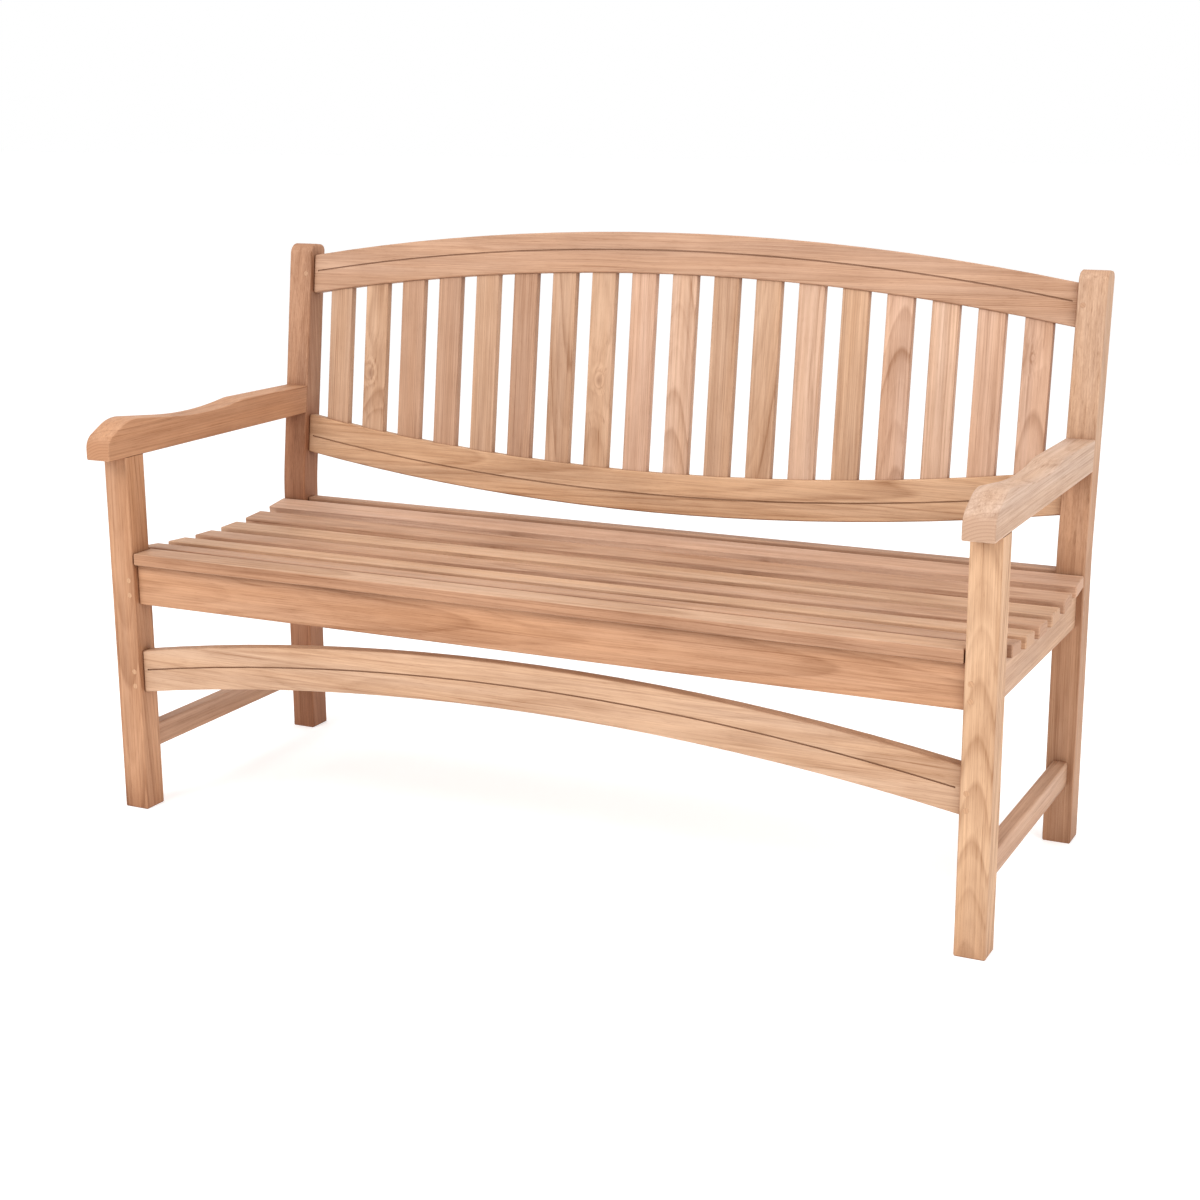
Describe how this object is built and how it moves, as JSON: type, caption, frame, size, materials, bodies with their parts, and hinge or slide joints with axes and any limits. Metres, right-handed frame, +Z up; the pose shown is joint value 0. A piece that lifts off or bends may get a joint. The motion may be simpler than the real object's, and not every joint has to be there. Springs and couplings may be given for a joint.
{
  "type": "garden bench",
  "caption": "Slatted wooden garden bench with an arched top rail, a dished slat seat, curved arms and a bowed front stretcher",
  "frame": {"origin": "centre of the footprint box, on the ground", "axes": "+X along the bench, +Y from the front edge to the back, +Z up"},
  "size_m": [1.5, 0.647, 0.9499],
  "materials": {
    "frame": "matt, bare sawn and sanded teak",
    "arm": "matt, bare sanded teak",
    "seat_slat": "matt, bare sanded teak",
    "back_slat": "matt, bare sanded teak",
    "peg": "matt end grain",
    "screw": "satin"
  },
  "bodies": {
    "root": {"arm_left": "arm", "arm_right": "arm", "back_post_left": "frame", "back_post_right": "frame", "back_slat_01": "back_slat", "back_slat_02": "back_slat", "back_slat_03": "back_slat", "back_slat_04": "back_slat", "back_slat_05": "back_slat", "back_slat_06": "back_slat", "back_slat_07": "back_slat", "back_slat_08": "back_slat", "back_slat_09": "back_slat", "back_slat_10": "back_slat", "back_slat_11": "back_slat", "back_slat_12": "back_slat", "back_slat_13": "back_slat", "back_slat_14": "back_slat", "back_slat_15": "back_slat", "back_slat_16": "back_slat", "back_slat_17": "back_slat", "back_slat_18": "back_slat", "crest_rail": "frame", "front_apron": "frame", "front_leg_left": "frame", "front_leg_right": "frame", "front_stretcher": "frame", "lower_back_rail": "frame", "pegs_crest_rail": "peg", "pegs_front_joints": "peg", "pegs_side_rails": "peg", "rear_seat_rail": "frame", "seat_bearer_left": "frame", "seat_bearer_right": "frame", "seat_screws": "screw", "seat_slat_1": "seat_slat", "seat_slat_2": "seat_slat", "seat_slat_3": "seat_slat", "seat_slat_4": "seat_slat", "seat_slat_5": "seat_slat", "seat_slat_6": "seat_slat", "seat_slat_7": "seat_slat", "side_seat_rail_left": "frame", "side_seat_rail_right": "frame", "side_stretcher_left": "frame", "side_stretcher_right": "frame"}
  },
  "joints": []
}
